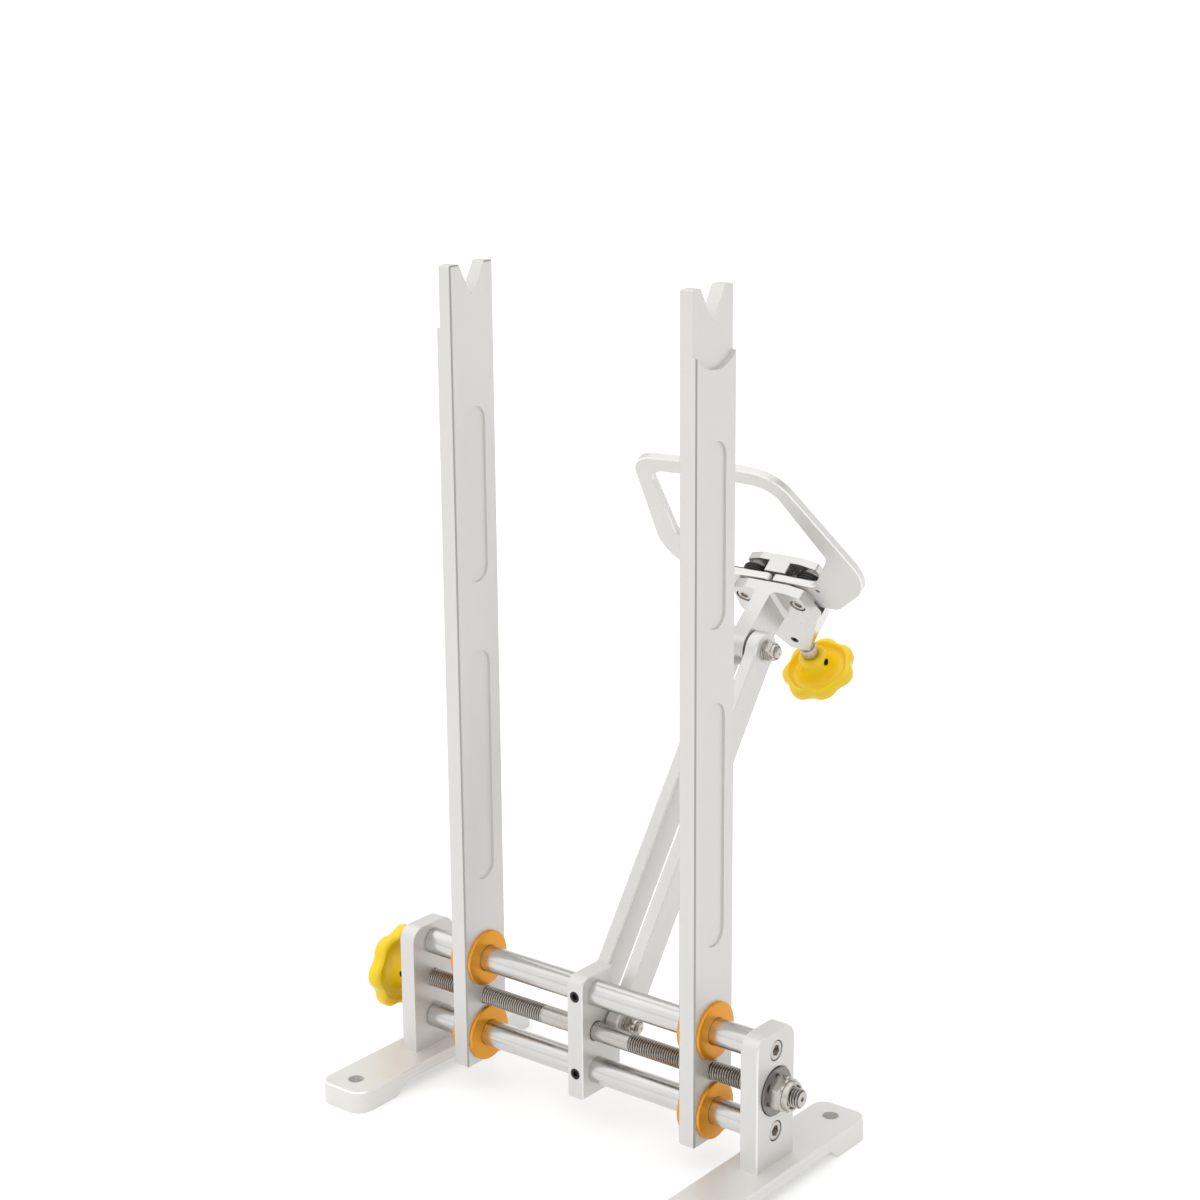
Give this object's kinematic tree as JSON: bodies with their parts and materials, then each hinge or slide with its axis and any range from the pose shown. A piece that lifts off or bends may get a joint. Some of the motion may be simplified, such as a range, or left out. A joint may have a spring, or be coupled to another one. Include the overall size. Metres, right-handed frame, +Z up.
{
  "type": "bicycle wheel truing stand",
  "caption": "Bench stand that holds a bicycle wheel by its axle between two notched uprights and gauges its rim with a pair of claws on a swinging arm.",
  "frame": {"origin": "on the bench top, in the middle of the four mounting holes, under the middle of the centre block", "axes": "+X along the guide rods from the knob's end to the lock nut's end, +Y away from the user, towards the arm, +Z up"},
  "size_m": [0.2693, 0.3035, 0.4428],
  "materials": {
    "blasted_aluminium": "satin, bead blasted",
    "ground_rod": "ground and polished",
    "stainless_steel": "machined, semi-gloss",
    "bush_bronze": "turned, satin",
    "yellow_plastic": "glossy moulded",
    "black_steel": "black oxide",
    "washer_nylon": "matte"
  },
  "bodies": {
    "base": {"left_foot": "blasted_aluminium", "right_foot": "blasted_aluminium", "left_end_plate": "blasted_aluminium", "right_end_plate": "blasted_aluminium", "foot_screws": "stainless_steel", "upper_guide_rod": "ground_rod", "lower_guide_rod": "ground_rod", "rod_end_screws": "stainless_steel", "centre_block": "blasted_aluminium", "block_grub_screws": "black_steel"},
    "leadscrew": {"leadscrew": "stainless_steel", "leadscrew_washers": "stainless_steel", "leadscrew_lock_nut": "stainless_steel", "lead_knob": "yellow_plastic", "lead_knob_grub_screw": "black_steel"},
    "right_upright": {"right_upright": "blasted_aluminium", "right_upright_bushes": "bush_bronze"},
    "left_upright": {"left_upright": "blasted_aluminium", "left_upright_bushes": "bush_bronze"},
    "arm": {"arm_left_bar": "blasted_aluminium", "arm_right_bar": "blasted_aluminium", "lower_pivot_bolt": "stainless_steel", "upper_pivot_bolt": "stainless_steel", "pivot_lock_nuts": "stainless_steel", "pivot_washers": "stainless_steel", "pivot_friction_washers": "washer_nylon"},
    "caliper_head": {"caliper_body": "blasted_aluminium", "caliper_rear_plate": "blasted_aluminium", "spring_stop_block": "blasted_aluminium", "claw_pivot_screws": "stainless_steel", "claw_thrust_washers": "stainless_steel", "claw_spacer_sleeves": "stainless_steel", "rear_plate_screws": "stainless_steel", "caliper_body_grub_screw": "black_steel", "left_claw_spring": "black_steel", "right_claw_spring": "black_steel"},
    "right_claw": {"right_claw": "blasted_aluminium"},
    "left_claw": {"left_claw": "blasted_aluminium"},
    "caliper_thrust": {"thrust_pin": "stainless_steel"},
    "caliper_screw": {"caliper_screw": "stainless_steel", "caliper_knob": "yellow_plastic", "caliper_knob_grub_screw": "black_steel"}
  },
  "joints": [
    {"name": "leadscrew_spin", "type": "hinge", "parent": "base", "child": "leadscrew", "pos_m": [0, 0, 0.05105], "axis": [1, 0, 0], "range_deg": [-6001, 9421]},
    {"name": "right_upright_slide", "type": "slide", "parent": "base", "child": "right_upright", "axis": [1, 0, 0], "range_m": [-0.03925, 0.025]},
    {"name": "left_upright_slide", "type": "slide", "parent": "base", "child": "left_upright", "axis": [-1, 0, 0], "range_m": [-0.0395, 0.0251]},
    {"name": "arm_swing", "type": "hinge", "parent": "base", "child": "arm", "pos_m": [0, 0.016, 0.051], "axis": [1, 0, 0], "range_deg": [-35, 6]},
    {"name": "caliper_tilt", "type": "hinge", "parent": "arm", "child": "caliper_head", "pos_m": [0, 0.13992, 0.22473], "axis": [1, 0, 0], "range_deg": [-30, 30]},
    {"name": "caliper_screw_spin", "type": "hinge", "parent": "caliper_thrust", "child": "caliper_screw", "pos_m": [0, 0.20425, 0.2055], "axis": [0, -0.5962, 0.8028], "range_deg": [-144, 1008]},
    {"name": "thrust_slide", "type": "slide", "parent": "caliper_head", "child": "caliper_thrust", "axis": [0, -0.5962, 0.8028], "range_m": [-0.00051, 0.00351]},
    {"name": "right_claw_swing", "type": "hinge", "parent": "caliper_head", "child": "right_claw", "pos_m": [0.0178, 0.17039, 0.2515], "axis": [0, 0.7513, 0.66], "range_deg": [-1.9, 12.8], "deforming": ["right_claw_spring"]},
    {"name": "left_claw_swing", "type": "hinge", "parent": "caliper_head", "child": "left_claw", "pos_m": [-0.0178, 0.17039, 0.2515], "axis": [0, -0.7513, -0.66], "range_deg": [-1.9, 12.8], "deforming": ["left_claw_spring"]}
  ],
  "couplings": [
    {"joint": "leadscrew_spin", "follows": "right_upright_slide", "rad_per_m": -4188.8},
    {"joint": "left_upright_slide", "follows": "right_upright_slide", "ratio": 1},
    {"joint": "thrust_slide", "follows": "caliper_screw_spin", "m_per_rad": 0.00019894},
    {"joint": "right_claw_swing", "follows": "caliper_screw_spin", "ratio": 0.012591},
    {"joint": "left_claw_swing", "follows": "caliper_screw_spin", "ratio": 0.012591}
  ]
}
